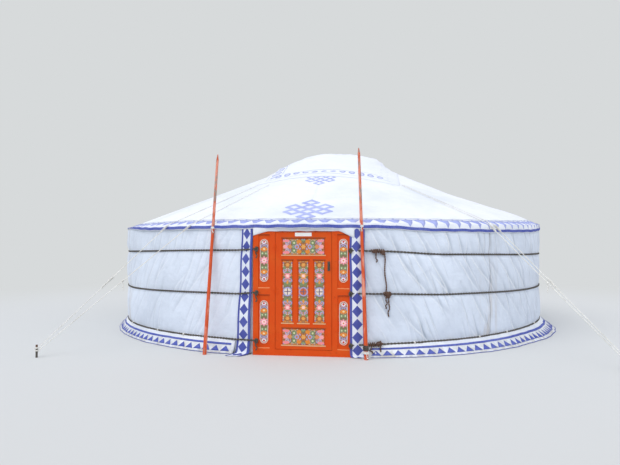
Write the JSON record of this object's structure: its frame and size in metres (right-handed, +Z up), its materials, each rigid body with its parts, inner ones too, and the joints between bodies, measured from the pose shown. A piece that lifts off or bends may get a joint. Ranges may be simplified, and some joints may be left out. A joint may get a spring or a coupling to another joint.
{
  "type": "yurt",
  "caption": "Round white canvas yurt on a folding lattice wall, with a low cone roof, girth ropes, stay ropes and an orange panelled door that opens.",
  "frame": {"origin": "middle of the floor, at ground level", "axes": "+Z up, the door faces -Y, +X to the right seen from outside the door"},
  "size_m": [8.3904, 9.1344, 3.3705],
  "materials": {
    "door_paint": "orange gloss paint on timber",
    "panel_paint": "boards painted with coloured flowers and scrolls",
    "crown_paint": "orange gloss paint on timber",
    "lattice_paint": "orange painted willow rods",
    "pole_paint": "orange painted round timber, faded",
    "canvas": "white cotton canvas over felt",
    "roof_canvas": "white cotton canvas with a blue border",
    "skirt_cloth": "white cotton canvas with blue triangles",
    "strip_cloth": "white cotton canvas with blue diamonds",
    "band_rope": "dark brown horsehair rope",
    "stay_rope": "off-white laid rope",
    "iron": "black iron"
  },
  "bodies": {
    "yurt": {"band_lower": "band_rope", "band_middle": "band_rope", "band_ties": "band_rope", "band_upper": "band_rope", "crown_cover": "canvas", "crown_ring": "crown_paint", "crown_spokes": "crown_paint", "door_jamb_left": "door_paint", "door_jamb_right": "door_paint", "door_lintel": "door_paint", "door_sill": "door_paint", "hinge_fixed": "iron", "lattice_1": "lattice_paint", "lattice_2": "lattice_paint", "lattice_3": "lattice_paint", "lattice_4": "lattice_paint", "lean_pole_left": "pole_paint", "lean_pole_right": "pole_paint", "lintel_flap": "canvas", "pegs": "iron", "post_left": "crown_paint", "post_right": "crown_paint", "roof_cover_1": "roof_canvas", "roof_cover_2": "roof_canvas", "roof_cover_3": "roof_canvas", "roof_cover_4": "roof_canvas", "roof_poles_1": "pole_paint", "roof_poles_2": "pole_paint", "roof_poles_3": "pole_paint", "roof_poles_4": "pole_paint", "skirt_left": "skirt_cloth", "skirt_right": "skirt_cloth", "stay_ropes_back": "stay_rope", "stay_ropes_front": "stay_rope", "strip_left": "strip_cloth", "strip_right": "strip_cloth", "wall_cover_1": "canvas", "wall_cover_2": "canvas", "wall_cover_3": "canvas", "wall_cover_4": "canvas", "wall_cover_5": "canvas", "wall_cover_6": "canvas"},
    "door": {"door_leaf": "door_paint", "door_panels": "panel_paint", "hinge_leaf": "iron", "door_handle": "iron"}
  },
  "joints": [
    {"name": "door_hinge", "type": "hinge", "parent": "yurt", "child": "door", "pos_m": [-0.39, -3.993, 0.89], "axis": [0, 0, -1], "range_deg": [0, 105]}
  ]
}
